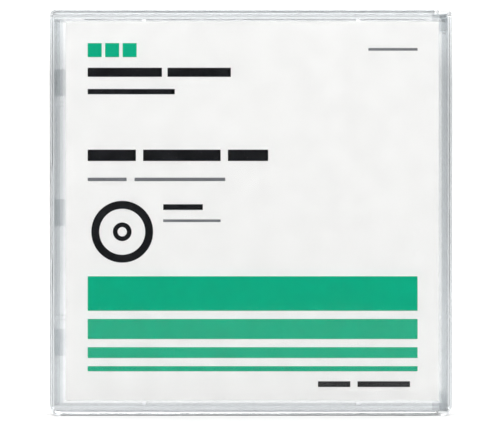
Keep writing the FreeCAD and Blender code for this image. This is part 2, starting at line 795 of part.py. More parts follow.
def crown(count, inner, outer, y_root, y_tip, offset=0.0, thin=0.0):
    """A ring of radial ridges about the reel's axis, from the plane at y_root to sharp tips at y_tip."""
    half = math.pi / count - thin / outer
    shapes = []
    for k in range(count):
        angle = 2 * math.pi * (k + offset) / count
        faces = []
        for radius in (inner, outer):
            points = []
            for side, y in ((-1, y_root), (1, y_root), (0, y_tip)):
                a = angle + side * half
                points.append(Vector(radius * math.sin(a), y, reel_z + radius * math.cos(a)))
            faces.append(Part.makePolygon(points + points[:1]))
        shapes.append(Part.makeLoft(faces, True, True))
    return shapes


def reel():
    """Hub with its lower flange, in one moulding: drive teeth below the web, brake teeth above it."""
    flange = round_y(flange_radius, 0, reel_z, lower_flange_top_y, lower_flange_bottom_y)
    hub = round_y(hub_radius, 0, reel_z, upper_flange_bottom_y, web_bottom_y)
    pocket = round_y(hub_bore_radius, 0, reel_z, upper_flange_bottom_y - over, web_top_y)
    body = flange.fuse(hub).cut(pocket)
    body = body.fuse(crown(drive_teeth, drive_tooth_inner, drive_tooth_outer,
                           web_bottom_y - tooth_root, web_bottom_y + drive_tooth_height))
    body = body.fuse(crown(brake_teeth, brake_tooth_inner, brake_tooth_outer,
                           web_top_y + tooth_root, web_top_y - brake_tooth_height))
    holes = [round_y(web_bore_radius, 0, reel_z, web_top_y - over, web_bottom_y + over)]
    for x, z in leg_places():
        holes.append(round_y(leg_radius + leg_clearance, x, z, web_top_y - tooth_root, far))
    return cut(body, holes)


def reel_upper_flange():
    return ring_y(flange_radius, hub_bore_radius, 0, reel_z, upper_flange_top_y, upper_flange_bottom_y)


def clutch_plate():
    """Steel ring under the hub that the drive's magnet pulls."""
    depth = (web_bottom_y, web_bottom_y + clutch_thickness)
    return ring_y(clutch_outer_radius, clutch_inner_radius, 0, reel_z, *depth)


def tape_pack():
    return ring_y(pack_radius, hub_radius, 0, reel_z, tape_high_y, tape_low_y)


def leg_places():
    for k in range(leg_count):
        angle = 2 * math.pi * k / leg_count
        yield leg_circle_radius * math.sin(angle), reel_z + leg_circle_radius * math.cos(angle)


def brake_release_plate():
    """Round plate in the hub with three legs, which the drive pushes up to lift the brake."""
    plate = round_y(plate_radius, 0, reel_z, plate_top_y, plate_bottom_y)
    tip = web_bottom_y + drive_tooth_height - leg_recess
    legs = [round_y(leg_radius, x, z, plate_top_y, tip) for x, z in leg_places()]
    return fuse([plate] + legs)


def reel_brake():
    """Toothed button that locks the reel, kept from turning by the cross on the upper shell."""
    rim = hub_bore_radius - brake_rim_clearance
    disc = round_y(rim, 0, reel_z, brake_disc_top_y, brake_disc_bottom_y)
    boss = round_y(brake_boss_radius, 0, reel_z, boss_top_y, brake_disc_top_y + weld)
    nub = round_y(brake_nub_radius, 0, reel_z, brake_disc_bottom_y - weld, plate_top_y - plate_gap)
    body = fuse([disc, boss, nub])
    teeth = crown(brake_teeth, brake_tooth_inner, brake_tooth_outer,
                  brake_disc_bottom_y - tooth_root, brake_tooth_tip_y, 0.5, brake_tooth_gap)
    body = body.fuse(teeth)
    pockets = [
        box(-a / 2 - cross_clearance, a / 2 + cross_clearance, boss_top_y - over, pocket_floor_y,
            reel_z - b / 2 - cross_clearance, reel_z + b / 2 + cross_clearance)
        for a, b in ((cross_length, cross_width), (cross_width, cross_length))
    ]
    return cut(body, pockets)


def coil(radius, wire, length, turns):
    """A compression spring along Z, from z = 0 to its length, wound from square wire."""
    pitch = (length - wire) / turns
    path = Part.makeHelix(pitch, pitch * turns, radius)
    half = wire / 2
    corners = [
        Vector(radius - half, 0, -half), Vector(radius + half, 0, -half),
        Vector(radius + half, 0, half), Vector(radius - half, 0, half),
    ]
    section = Part.makePolygon(corners + corners[:1])
    spring = Part.Wire(path.Edges).makePipeShell([section], True, True)
    spring.translate(Vector(0, 0, half))
    return spring


def brake_spring():
    top = roof_y + spring_gap
    length = brake_disc_top_y - spring_gap - top
    spring = coil(spring_coil_radius, spring_wire, length, spring_turns)
    spring.rotate(Vector(0, 0, 0), Vector(1, 0, 0), -90)
    spring.translate(Vector(0, top, reel_z))
    return spring


def door_spring():
    radius = door_spring_radius - door_spring_wire / 2
    spring = coil(radius, door_spring_wire, door_spring_length - spring_gap, door_spring_turns)
    x = channel_x - spring_gap - door_spring_radius
    spring.translate(Vector(x, door_spring_y, door_rear_z - door_spring_length))
    return spring


def tape_door():
    """Flat door that slides towards the rear inside the side wall and bares the leader pin."""
    plate = box(door_inner_x, door_outer_x, roof_y + door_height_play, floor_y - door_height_play,
                door_rear_z, door_front_z)
    groove = box(door_outer_x - door_groove_depth, far, roof_y + door_window_margin * 2,
                 floor_y - door_window_margin * 2, door_front_z - door_groove_front - door_groove_width,
                 door_front_z - door_groove_front)
    return plate.cut(groove)


def leader_pin():
    """Turned pin at the free end of the tape, with a disc at each end and a neck that the drive hooks."""
    discs = [
        round_y(leader_disc_radius, leader_x, leader_z, leader_high_y, leader_high_y + leader_disc),
        round_y(leader_disc_radius, leader_x, leader_z, leader_low_y - leader_disc, leader_low_y),
    ]
    neck = round_y(leader_neck_radius, leader_x, leader_z, leader_high_y, leader_low_y)
    inset = leader_disc + leader_neck
    body = round_y(leader_radius, leader_x, leader_z, leader_high_y + inset, leader_low_y - inset)
    return fuse(discs + [neck, body])


def leader_pin_springs():
    """Two leaf clips that hold the leader pin's ends in their sockets."""
    inner = leader_disc_radius + clip_gap
    clips = []
    for y0 in (leader_high_y, leader_low_y - leader_disc):
        clip = ring_y(inner + clip_thickness, inner, leader_x, leader_z, y0, y0 + leader_disc)
        mouth = Part.makeCylinder(socket_inner_radius, leader_disc + 2 * over,
                                  Vector(leader_x, y0 - over, leader_z), Vector(0, 1, 0), clip_opening_deg)
        mouth.rotate(Vector(leader_x, 0, leader_z), Vector(0, 1, 0), socket_turn_deg + clip_opening_deg / 2)
        clips.append(clip.cut(mouth))
    return Part.makeCompound(clips)


def leader_tape():
    """Free stretch of tape from the wound pack to the leader pin."""
    rise, run = leader_z - reel_z, leader_x
    reach = math.hypot(rise, run)
    around = pack_radius + leader_film_gap
    wrap = leader_radius + leader_wrap_gap
    angle = math.atan2(rise, run) + math.acos((around - wrap) / reach)
    out = Vector(math.cos(angle), 0, math.sin(angle))
    start = Vector(0, tape_high_y, reel_z) + out * around
    end = Vector(leader_x, tape_high_y, leader_z) + out * wrap
    corners = [start, end, end + out * leader_film, start + out * leader_film]
    strip = Part.Face(Part.makePolygon(corners + corners[:1])).extrude(Vector(0, tape_width, 0))
    inset = leader_disc + leader_neck
    collar = ring_y(wrap + leader_film, wrap, leader_x, leader_z, leader_high_y + inset, leader_low_y - inset)
    return fuse([strip, collar])


def write_protect_switch():
    z = inner_rear_z + switch_gap
    body = box(switch_x - switch_length / 2, switch_x + switch_length / 2, switch_y - switch_height / 2,
               switch_y + switch_height / 2, z, z + switch_thickness)
    knob = box(switch_x - knob_length / 2, switch_x + knob_length / 2, switch_y - knob_height / 2,
               switch_y + knob_height / 2, cart_rear_z + knob_recess, z + switch_thickness)
    return fuse([body, knob])


def memory_module():
    half = memory_width / 2
    board = box(-memory_length / 2, memory_length / 2, -memory_thickness, 0, -half, half)
    board.rotate(Vector(0, 0, 0), Vector(1, 0, 0), -45)
    board.translate(Vector(memory_x, floor_y - memory_wedge / 2, inner_rear_z + memory_wedge / 2))
    return board


def main():
    os.makedirs("parts", exist_ok=True)
    nodes = {
        "case_base": case_base, "case_lid": case_lid, "insert_card": insert_card,
        "card_print_green": card_print_green, "card_print_dark": card_print_dark,
        "card_print_grey": card_print_grey, "upper_shell": upper_shell, "lower_shell": lower_shell,
        "shell_screws": shell_screws, "tape_door": tape_door, "door_spring": door_spring,
        "write_protect_switch": write_protect_switch, "memory_module": memory_module,
        "reel": reel, "reel_upper_flange": reel_upper_flange, "clutch_plate": clutch_plate,
        "tape_pack": tape_pack, "leader_tape": leader_tape, "leader_pin": leader_pin,
        "leader_pin_springs": leader_pin_springs, "reel_brake": reel_brake,
        "brake_spring": brake_spring, "brake_release_plate": brake_release_plate,
    }
    for name, make in nodes.items():
        shape = make()
        state = "valid" if shape.isValid() else "NOT VALID"
        print(name, len(shape.Solids), "solids", state, round(shape.Volume, 1))
        shape.exportStep("parts/" + name + ".step")


main()
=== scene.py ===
import math

import bpy
from mathutils import Matrix, Vector


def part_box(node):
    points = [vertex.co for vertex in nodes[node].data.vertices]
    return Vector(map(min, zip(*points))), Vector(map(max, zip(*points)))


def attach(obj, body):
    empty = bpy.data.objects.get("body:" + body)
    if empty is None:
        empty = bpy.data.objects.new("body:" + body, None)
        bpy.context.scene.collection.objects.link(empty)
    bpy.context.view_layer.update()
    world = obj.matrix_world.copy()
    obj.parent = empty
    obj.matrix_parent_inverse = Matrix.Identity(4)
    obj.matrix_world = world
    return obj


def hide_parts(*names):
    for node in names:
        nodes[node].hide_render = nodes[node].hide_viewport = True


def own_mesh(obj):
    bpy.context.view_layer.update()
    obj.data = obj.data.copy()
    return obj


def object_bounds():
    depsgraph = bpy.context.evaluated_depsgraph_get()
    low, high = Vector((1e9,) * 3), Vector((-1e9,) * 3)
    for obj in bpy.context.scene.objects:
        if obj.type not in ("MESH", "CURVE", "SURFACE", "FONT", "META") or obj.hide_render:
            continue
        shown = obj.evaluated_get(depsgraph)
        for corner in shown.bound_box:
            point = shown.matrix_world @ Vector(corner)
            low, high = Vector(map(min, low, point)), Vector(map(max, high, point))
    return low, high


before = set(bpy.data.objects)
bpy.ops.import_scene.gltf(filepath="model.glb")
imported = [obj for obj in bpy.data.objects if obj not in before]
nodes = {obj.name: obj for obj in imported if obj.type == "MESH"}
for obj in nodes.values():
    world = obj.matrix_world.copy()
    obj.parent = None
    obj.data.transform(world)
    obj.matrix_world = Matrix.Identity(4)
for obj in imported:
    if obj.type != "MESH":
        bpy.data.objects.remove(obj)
cadLow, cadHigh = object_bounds()
mm = 0.001
print("frame loaded:", len(nodes), "nodes")


# Shader helpers

def newMaterial(name):
    material = bpy.data.materials.new(name)
    material.use_nodes = True
    tree = material.node_tree
    tree.nodes.clear()
    output = tree.nodes.new("ShaderNodeOutputMaterial")
    shader = tree.nodes.new("ShaderNodeBsdfPrincipled")
    tree.links.new(shader.outputs["BSDF"], output.inputs["Surface"])
    return material, tree, shader


def setSockets(node, values):
    for socket, value in values.items():
        node.inputs[socket].default_value = value


# A colour as the eye reads it on a screen, 0 to 255, made linear
def rgb(red, green, blue):
    def linear(value):
        value /= 255
        return value / 12.92 if value <= 0.04045 else ((value + 0.055) / 1.055) ** 2.4
    return (linear(red), linear(green), linear(blue), 1.0)


def darker(colour, share):
    return tuple(v * share for v in colour[:3]) + (1.0,)


def objectPlace(tree, scale=(1, 1, 1), offset=(0, 0, 0), turn=(0, 0, 0)):
    coordinates = tree.nodes.new("ShaderNodeTexCoord")
    mapping = tree.nodes.new("ShaderNodeMapping")
    setSockets(mapping, {"Scale": scale, "Location": offset, "Rotation": turn})
    tree.links.new(coordinates.outputs["Object"], mapping.inputs["Vector"])
    return mapping.outputs["Vector"]


def noise(tree, place, scale, detail=2.0, roughness=0.5):
    node = tree.nodes.new("ShaderNodeTexNoise")
    setSockets(node, {"Scale": scale, "Detail": detail, "Roughness": roughness})
    tree.links.new(place, node.inputs["Vector"])
    return node.outputs["Fac"]


# Maps a value from one range to another
def spread(tree, value, low, high, fromLow=0.0, fromHigh=1.0):
    node = tree.nodes.new("ShaderNodeMapRange")
    setSockets(node, {"From Min": fromLow, "From Max": fromHigh, "To Min": low, "To Max": high})
    tree.links.new(value, node.inputs["Value"])
    return node.outputs["Result"]


# A pattern's roughness, which strays from its middle by these two amounts
def stray(tree, value, rough, limits):
    return spread(tree, value, rough + limits[0], rough + limits[1])


# Arithmetic on sockets and plain numbers, in a shader or in Geometry Nodes
def maths(tree, operation, *values):
    node = tree.nodes.new("ShaderNodeMath")
    node.operation = operation
    for k, value in enumerate(values):
        if isinstance(value, (int, float)):
            node.inputs[k].default_value = value
        else:
            tree.links.new(value, node.inputs[k])
    return node.outputs[0]


def blendColour(tree, factor, first, second):
    node = tree.nodes.new("ShaderNodeMix")
    node.data_type = "RGBA"
    tree.links.new(factor, node.inputs["Factor"])
    for socket, colour in ((node.inputs[6], first), (node.inputs[7], second)):   # its colour sockets
        socket.default_value = colour
    return node.outputs[2]


def paint(tree, shader, colour, roughness):
    tree.links.new(colour, shader.inputs["Base Color"])
    tree.links.new(roughness, shader.inputs["Roughness"])


def bump(tree, shader, height, strength, distance, under=None):
    node = tree.nodes.new("ShaderNodeBump")
    setSockets(node, {"Strength": strength, "Distance": distance})
    tree.links.new(height, node.inputs["Height"])
    if under is not None:
        tree.links.new(under, node.inputs["Normal"])
    tree.links.new(node.outputs["Normal"], shader.inputs["Normal"])
    return node.outputs["Normal"]


# Distance from an axis along Y, for turned and wound surfaces
def aroundAxis(tree, centre):
    place = objectPlace(tree, scale=(1, 0, 1), offset=(-centre.x, 0, -centre.z))
    length = tree.nodes.new("ShaderNodeVectorMath")
    length.operation = "LENGTH"
    tree.links.new(place, length.inputs[0])
    return length.outputs["Value"]


def separate(tree, vector):
    node = tree.nodes.new("ShaderNodeSeparateXYZ")
    tree.links.new(vector, node.inputs[0])
    return node.outputs


def middle(node):
    low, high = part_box(node)
    return (low + high) / 2


# The clear case: polished where it has to be seen through, a little duller round that and on the walls

clearCase = {
    "windowTint": rgb(254, 254, 254),
    # painted shade: the walls and the plate's rim round the window take this greyer tint than the window
    "wallShadeTint": rgb(230, 232, 233),
    "ior": 1.49,
    "sheen": (0.6, 0.6, 0.6, 1.0),   # holds its reflections down
    "polished": 0.012,           # roughness of the window
    "handled": 0.05,             # where hands and shelves have rubbed it
    "walls": 0.05,
    "border": 0.02,              # of the plate's rim round the window
    "windowMargin": 0.45 * mm,   # from the card's edge to the edge of the window
    "softEdge": 0.5 * mm,
    "plateDepth": 2 * mm,        # deeper than either plate, short of the walls behind it
    "outside": mm,               # how far the plate's pattern reaches past its outer face
    "handSize": 38.0,
    "handShift": (0.3, 0.1, 0.7),
    "rubSize": 1400.0,
    "rubStretch": 0.08,
    "rubLimits": (0.22, 0.5),
    "flowSize": 45.0,
    "flowStretch": 0.35,
    "flowStrength": 0.6,
    "flowDepth": 0.003 * mm,
    "scratchStrength": 0.5,
    "scratchDepth": 0.0012 * mm,
}


# 1 within the window's length on one axis, 0 outside it
def within(tree, value, low, high):
    centre, half = (low + high) / 2, (high - low) / 2
    away = maths(tree, "ABSOLUTE", maths(tree, "SUBTRACT", value, centre))
    return spread(tree, away, 1.0, 0.0, half, half + clearCase["softEdge"])


def clearPlastic(name, window, depth, turn):
    material, tree, shader = newMaterial(name)
    setSockets(shader, {
        "IOR": clearCase["ior"], "Transmission Weight": 1.0, "Specular Tint": clearCase["sheen"],
    })
    place = separate(tree, objectPlace(tree))
    low, high = window
    across = within(tree, place["X"], low.x, high.x)
    up = within(tree, place["Z"], low.z, high.z)
    plate = within(tree, place["Y"], depth[0], depth[1])
    clear = maths(tree, "MULTIPLY", maths(tree, "MULTIPLY", across, up), plate)
    # painted shade: outside the window the clear plastic is tinted greyer, standing in for the grey its edges
    # show
    tint = blendColour(tree, clear, clearCase["wallShadeTint"], clearCase["windowTint"])
    handled = noise(tree, objectPlace(tree, offset=clearCase["handShift"]), clearCase["handSize"], detail=3.0)
    strokes = objectPlace(tree, scale=(1, 1, clearCase["rubStretch"]), turn=(0, turn, 0))
    rub = noise(tree, strokes, clearCase["rubSize"], detail=1.0)
    worn = maths(tree, "MULTIPLY", handled, rub)
    wear = spread(tree, worn, clearCase["polished"], clearCase["handled"], *clearCase["rubLimits"])
    wall = maths(tree, "MULTIPLY", maths(tree, "SUBTRACT", 1.0, plate), clearCase["walls"])
    border = maths(tree, "MULTIPLY", maths(tree, "SUBTRACT", plate, clear), clearCase["border"])
    paint(tree, shader, tint, maths(tree, "MAXIMUM", wear, maths(tree, "ADD", wall, border)))
    stream = objectPlace(tree, scale=(1, 1, clearCase["flowStretch"]))
    flow = noise(tree, stream, clearCase["flowSize"], detail=1.0)
    first = bump(tree, shader, flow, clearCase["flowStrength"], clearCase["flowDepth"])
    bump(tree, shader, rub, clearCase["scratchStrength"], clearCase["scratchDepth"], under=first)
    return material


# The card and its print: coated stock with a faint mottle and fibres under the coating

cardStock = {
    "paper": rgb(250, 250, 249), "paperShade": rgb(246, 246, 245),
    "green": rgb(4, 178, 137), "greenShade": rgb(8, 174, 133),
    "dark": rgb(22, 23, 26), "darkShade": rgb(30, 31, 34),
    "grey": rgb(112, 114, 118), "greyShade": rgb(122, 124, 128),
    "mottleSize": 160.0,
    "mottleLimits": (0.35, 0.65),
    "fibreSize": 2600.0,
    "fibreStretch": 0.4,
    "fibreTurn": 0.6,
    "fibreStrength": 0.4,
    "fibreDepth": 0.006 * mm,
    "strays": (-0.06, 0.06),
}


def paper(name, colour, shade, rough):
    material, tree, shader = newMaterial(name)
    patches = noise(tree, objectPlace(tree), cardStock["mottleSize"], detail=4.0)
    mottle = spread(tree, patches, 0, 1, *cardStock["mottleLimits"])
    tint = blendColour(tree, mottle, colour, shade)
    grain = objectPlace(tree, scale=(1, 1, cardStock["fibreStretch"]), turn=(0, cardStock["fibreTurn"], 0))
    fibres = noise(tree, grain, cardStock["fibreSize"], detail=4.0)
    paint(tree, shader, tint, stray(tree, fibres, rough, cardStock["strays"]))
    setSockets(shader, {"IOR": 1.45, "Specular IOR Level": 0.08})
    bump(tree, shader, fibres, cardStock["fibreStrength"], cardStock["fibreDepth"])
    return material


# Moulded plastics of the cartridge

shellPlastic = {
    "black": rgb(27, 28, 30), "worn": rgb(36, 37, 39),
    "doorGrey": rgb(56, 57, 60), "doorWorn": rgb(66, 67, 70),
    "touchSize": 60.0,
    "touchLimits": (0.4, 0.7),
    "roughness": 0.5,
    "strays": (0.0, -0.12),
    "grainSize": 1900.0,
    "grainDetail": 3.0,
    "grainRoughness": 0.6,
    "grainStrength": 0.5,
    "grainDepth": 0.02 * mm,
}


# A fine eroded grain, a little smoother where hands touch it
def sparkedPlastic(name, colour, worn):
    material, tree, shader = newMaterial(name)
    place = objectPlace(tree)
    hands = noise(tree, place, shellPlastic["touchSize"], detail=3.0)
    touched = spread(tree, hands, 0, 1, *shellPlastic["touchLimits"])
    tint = blendColour(tree, touched, colour, worn)
    paint(tree, shader, tint, stray(tree, touched, shellPlastic["roughness"], shellPlastic["strays"]))
    setSockets(shader, {"IOR": 1.5})
    size, detail = shellPlastic["grainSize"], shellPlastic["grainDetail"]
    grain = noise(tree, place, size, detail, shellPlastic["grainRoughness"])
    bump(tree, shader, grain, shellPlastic["grainStrength"], shellPlastic["grainDepth"])
    return material


satin = {
    "flowSize": 85.0,
    "fineSize": 900.0,
    "strays": (-0.05, 0.08),
    "fineStrength": 0.3,
    "fineDepth": 0.006 * mm,
}


# A smooth satin moulding with slight flow shading
def satinPlastic(name, colour, shade, rough):
    material, tree, shader = newMaterial(name)
    flow = noise(tree, objectPlace(tree), satin["flowSize"])
    tint = blendColour(tree, flow, colour, shade)
    fine = noise(tree, objectPlace(tree), satin["fineSize"], detail=3.0)
    paint(tree, shader, tint, stray(tree, fine, rough, satin["strays"]))
    setSockets(shader, {"IOR": 1.5})
    bump(tree, shader, fine, satin["fineStrength"], satin["fineDepth"])
    return material


# Metals and film

metal = {
    "ringSize": 2600.0, "ringStrength": 0.35, "ringDepth": 0.01 * mm, "ringStrays": (-0.08, 0.12),
    "stainSize": 120.0, "stainShade": 0.8,
    "mottleSize": 700.0, "mottleStrength": 0.25, "mottleDepth": 0.004 * mm, "mottleStrays": (-0.06, 0.1),
    "mottleShade": 0.7,
}


def rings(tree, centre, size, detail):
    ring = tree.nodes.new("ShaderNodeTexNoise")
    ring.noise_dimensions = "1D"
    setSockets(ring, {"Scale": size, "Detail": detail, "Roughness": 0.6})
    tree.links.new(aroundAxis(tree, centre), ring.inputs["W"])
    return ring.outputs["Fac"]


# Steel with the fine rings that turning leaves
def turnedSteel(name, colour, centre, rough):
    material, tree, shader = newMaterial(name)
    ring = rings(tree, centre, metal["ringSize"], detail=3.0)
    stain = noise(tree, objectPlace(tree), metal["stainSize"])
    tint = blendColour(tree, stain, colour, darker(colour, metal["stainShade"]))
    paint(tree, shader, tint, stray(tree, ring, rough, metal["ringStrays"]))
    setSockets(shader, {"Metallic": 1.0})
    bump(tree, shader, ring, metal["ringStrength"], metal["ringDepth"])
    return material


# Wire, strip and screws
def drawnSteel(name, colour, rough):
    material, tree, shader = newMaterial(name)
    mottle = noise(tree, objectPlace(tree), metal["mottleSize"], detail=3.0)
    tint = blendColour(tree, mottle, colour, darker(colour, metal["mottleShade"]))
    paint(tree, shader, tint, stray(tree, mottle, rough, metal["mottleStrays"]))
    setSockets(shader, {"Metallic": 1.0})
    bump(tree, shader, mottle, metal["mottleStrength"], metal["mottleDepth"])
    return material


tapeFilm = {
    "coat": rgb(38, 31, 28), "edge": rgb(60, 50, 45),
    "turnSize": 5200.0, "turnStrength": 0.5, "turnDepth": 0.02 * mm,
    "roughness": (0.22, 0.38),
}


# Dark film, with the fine steps between its turns
def woundTape(name, centre):
    material, tree, shader = newMaterial(name)
    turns = rings(tree, centre, tapeFilm["turnSize"], detail=4.0)
    tint = blendColour(tree, turns, tapeFilm["coat"], tapeFilm["edge"])
    paint(tree, shader, tint, spread(tree, turns, *tapeFilm["roughness"]))
    setSockets(shader, {"IOR": 1.6})
    bump(tree, shader, turns, tapeFilm["turnStrength"], tapeFilm["turnDepth"])
    return material


def grownWindow(node, margin):
    low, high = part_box(node)
    edge = Vector((margin, margin, margin))
    return low - edge, high + edge


cardWindow = grownWindow("insert_card", clearCase["windowMargin"])
cartridgeWindow = grownWindow("lower_shell", -clearCase["windowMargin"])
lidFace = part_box("case_lid")[0].y
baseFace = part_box("case_base")[1].y
lidPlate = (lidFace - clearCase["outside"], lidFace + clearCase["plateDepth"])
basePlate = (baseFace - clearCase["plateDepth"], baseFace + clearCase["outside"])

finishes = {
    "case_lid": clearPlastic("clearLid", cardWindow, lidPlate, turn=0.5),
    "case_base": clearPlastic("clearBase", cartridgeWindow, basePlate, turn=-0.8),
    "insert_card": paper("cardStock", cardStock["paper"], cardStock["paperShade"], rough=0.55),
    "card_print_green": paper("inkGreen", cardStock["green"], cardStock["greenShade"], rough=0.45),
    "card_print_dark": paper("inkDark", cardStock["dark"], cardStock["darkShade"], rough=0.45),
    "card_print_grey": paper("inkGrey", cardStock["grey"], cardStock["greyShade"], rough=0.45),
    "upper_shell": sparkedPlastic("shellBlack", shellPlastic["black"], shellPlastic["worn"]),
    "shell_screws": drawnSteel("screwSteel", rgb(92, 92, 95), rough=0.38),
    "tape_door": sparkedPlastic("doorPlastic", shellPlastic["doorGrey"], shellPlastic["doorWorn"]),
    "leader_pin_springs": drawnSteel("springSteel", rgb(186, 187, 190), rough=0.24),
    "write_protect_switch": satinPlastic("switchPlastic", rgb(214, 92, 40), rgb(204, 84, 36), rough=0.36),
    "memory_module": satinPlastic("moduleBoard", rgb(28, 74, 52), rgb(22, 64, 45), rough=0.3),
    "reel": satinPlastic("reelPlastic", rgb(184, 184, 180), rgb(172, 172, 168), rough=0.42),
    "clutch_plate": turnedSteel("clutchSteel", rgb(150, 151, 154), middle("reel"), rough=0.28),
    "tape_pack": woundTape("woundTape", middle("reel")),
    "leader_pin": turnedSteel("pinSteel", rgb(204, 205, 208), middle("leader_pin"), rough=0.22),
    "reel_brake": satinPlastic("brakePlastic", rgb(150, 153, 157), rgb(142, 145, 149), rough=0.45),
    "brake_release_plate": satinPlastic("releasePlastic", rgb(150, 150, 144), rgb(140, 140, 134), rough=0.45),
}
alike = {
    "lower_shell": "upper_shell", "reel_upper_flange": "reel", "leader_tape": "tape_pack",
    "door_spring": "leader_pin_springs", "brake_spring": "leader_pin_springs",
}


def dress(node, material):
    slots = nodes[node].material_slots
    for slot in slots:
        slot.material = material
    if not slots:
        nodes[node].data.materials.append(material)


for node, material in finishes.items():
    dress(node, material)
for node, pattern in alike.items():
    dress(node, finishes[pattern])
print("materials:", len(finishes))


# Geometry Nodes helpers

# An empty tree with named inputs for its sizes
def newTree(name, inputs):
    tree = bpy.data.node_groups.new(name, "GeometryNodeTree")
    tree.interface.new_socket("Geometry", in_out="OUTPUT", socket_type="NodeSocketGeometry")
    for label, kind in inputs.items():
        tree.interface.new_socket(label, in_out="INPUT", socket_type=kind)
    source = tree.nodes.new("NodeGroupInput")
    return tree, source


# Adds a node, and links or sets its inputs by name or by number
def step(tree, kind, inputs):
    node = tree.nodes.new(kind)
    for socket, value in inputs.items():
        if isinstance(value, bpy.types.NodeSocket):
            tree.links.new(value, node.inputs[socket])
        else:
            node.inputs[socket].default_value = value
    return node


def endTree(tree, geometry, material):
    real = step(tree, "GeometryNodeRealizeInstances", {"Geometry": geometry})
    painted = step(tree, "GeometryNodeSetMaterial", {"Geometry": real.outputs[0], "Material": material})
    output = tree.nodes.new("NodeGroupOutput")
    tree.links.new(painted.outputs[0], output.inputs[0])


# Runs a tree with these values and keeps its result as a plain mesh, put in its place
def growPiece(name, tree, values, place):
    holder = bpy.data.objects.new(name + "_maker", bpy.data.meshes.new(name + "_maker"))
    bpy.context.scene.collection.objects.link(holder)
    modifier = holder.modifiers.new("maker", "NODES")
    modifier.node_group = tree
    for item in tree.interface.items_tree:
        if item.in_out == "INPUT":
            modifier[item.identifier] = values[item.name]
    graph = bpy.context.evaluated_depsgraph_get()
    mesh = bpy.data.meshes.new_from_object(holder.evaluated_get(graph))
    bpy.data.objects.remove(holder)
    mesh.name = name
    mesh.transform(place)
    piece = bpy.data.objects.new(name, mesh)
    bpy.context.scene.collection.objects.link(piece)
    return piece


# Compression springs of round wire, with a closed turn at each end

springWire = {
    "pointsPerTurn": 28,
    "sides": 10,
}


def springTree(material):
    tree, sizes = newTree("roundWireSpring", {
        "Turns": "NodeSocketFloat", "Coil Radius": "NodeSocketFloat",
        "Wire Radius": "NodeSocketFloat", "Length": "NodeSocketFloat",
    })
    turns, coil, wire = sizes.outputs["Turns"], sizes.outputs["Coil Radius"], sizes.outputs["Wire Radius"]
    spiral = step(tree, "GeometryNodeCurveSpiral", {
        "Resolution": springWire["pointsPerTurn"], "Rotations": turns,
        "Start Radius": coil, "End Radius": coil, "Height": 0.0,
    })
    along = step(tree, "GeometryNodeSplineParameter", {}).outputs["Factor"]
    turn = maths(tree, "MULTIPLY", along, turns)
    thick = maths(tree, "MULTIPLY", wire, 2.0)
    lastTurn = maths(tree, "SUBTRACT", turns, 1.0)
    closed = maths(tree, "MULTIPLY", thick, 3.0)      # the rise of both closed turns, and the wire itself
    openLength = maths(tree, "SUBTRACT", sizes.outputs["Length"], closed)

    def rise(low, high, height):
        return step(tree, "ShaderNodeMapRange", {
            "Value": turn, "From Min": low, "From Max": high, "To Min": 0.0, "To Max": height,
        }).outputs["Result"]

    height = maths(tree, "ADD", rise(0.0, 1.0, thick), rise(1.0, lastTurn, openLength))
    height = maths(tree, "ADD", height, rise(lastTurn, turns, thick))
    lift = step(tree, "ShaderNodeCombineXYZ", {"Z": maths(tree, "ADD", height, wire)})
    placed = step(tree, "GeometryNodeSetPosition", {"Geometry": spiral.outputs[0], "Offset": lift.outputs[0]})
    section = step(tree, "GeometryNodeCurvePrimitiveCircle", {
        "Resolution": springWire["sides"], "Radius": wire,
    })
    solid = step(tree, "GeometryNodeCurveToMesh", {
        "Curve": placed.outputs[0], "Profile Curve": section.outputs[0], "Fill Caps": True,
    })
    smooth = step(tree, "GeometryNodeSetShadeSmooth", {"Geometry": solid.outputs[0]})
    endTree(tree, smooth.outputs[0], material)
    return tree


# The springs of the tape door and of the brake, each as long as its node

doorSpring = {"turns": 34.0, "wire": 0.3 * mm}
brakeSpring = {"turns": 4.5, "wire": 0.8 * mm}


def makeSprings():
    tree = springTree(finishes["leader_pin_springs"])
    low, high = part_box("door_spring")
    length = high.z - low.z
    wire = doorSpring["wire"] / 2
    spring = growPiece("door_spring_coil", tree, {
        "Turns": doorSpring["turns"], "Coil Radius": (high.x - low.x) / 2 - wire,
        "Wire Radius": wire, "Length": length,
    }, Matrix.Translation(((low.x + high.x) / 2, (low.y + high.y) / 2, low.z)))
    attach(spring, "root")
    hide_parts("door_spring")
    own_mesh(spring)
    low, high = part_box("brake_spring")
    length = high.y - low.y
    wire = brakeSpring["wire"] / 2
    place = Matrix.Translation(((low.x + high.x) / 2, low.y, (low.z + high.z) / 2))
    spring = growPiece("brake_spring_coil", tree, {
        "Turns": brakeSpring["turns"], "Coil Radius": (high.x - low.x) / 2 - wire,
        "Wire Radius": wire, "Length": length,
    }, place @ Matrix.Rotation(-math.pi / 2, 4, "X"))
    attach(spring, "root")
    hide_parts("brake_spring")
    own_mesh(spring)


makeSprings()
print("springs coiled: 2")


# Studio: a pale floor that sweeps up behind, a bright tent in front and above, darker to the sides

studio = {
    "pixelsPerMetre": 3600.0,
    "pictureWidth": 500,
    "pictureMiddle": (250.0, 212.0),
    "caseMiddlePixel": (251.0, 212.5),
    "distance": 1.25,
    "sensorWidth": 36.0,
    "nearest": 0.05,
    "farthest": 50.0,
    "pathLength": 32,
}


def plane(name, points, faces, material):
    mesh = bpy.data.meshes.new(name)
    mesh.from_pydata(points, [], faces)
    mesh.materials.append(material)
    piece = bpy.data.objects.new(name, mesh)
    bpy.context.scene.collection.objects.link(piece)
    return piece


paleFloor = {
    "tone": 0.43,
    "grainSize": 25.0,
    "grainShade": 0.99,
    "tableGlow": 0.26,            # in front of the case, so that its underside isn't in the dark
    "tableDepths": (-0.05, 0.1),  # from there to here that glow fades out
    "backdropGlow": 6.0,          # high up behind the case, for a white background
    "backdropHeights": (0.17, 0.7),   # it grows to its full strength between these
    "reach": 3.0,
    "sweepRadius": 1.2,
    "sweepSteps": 24,
}


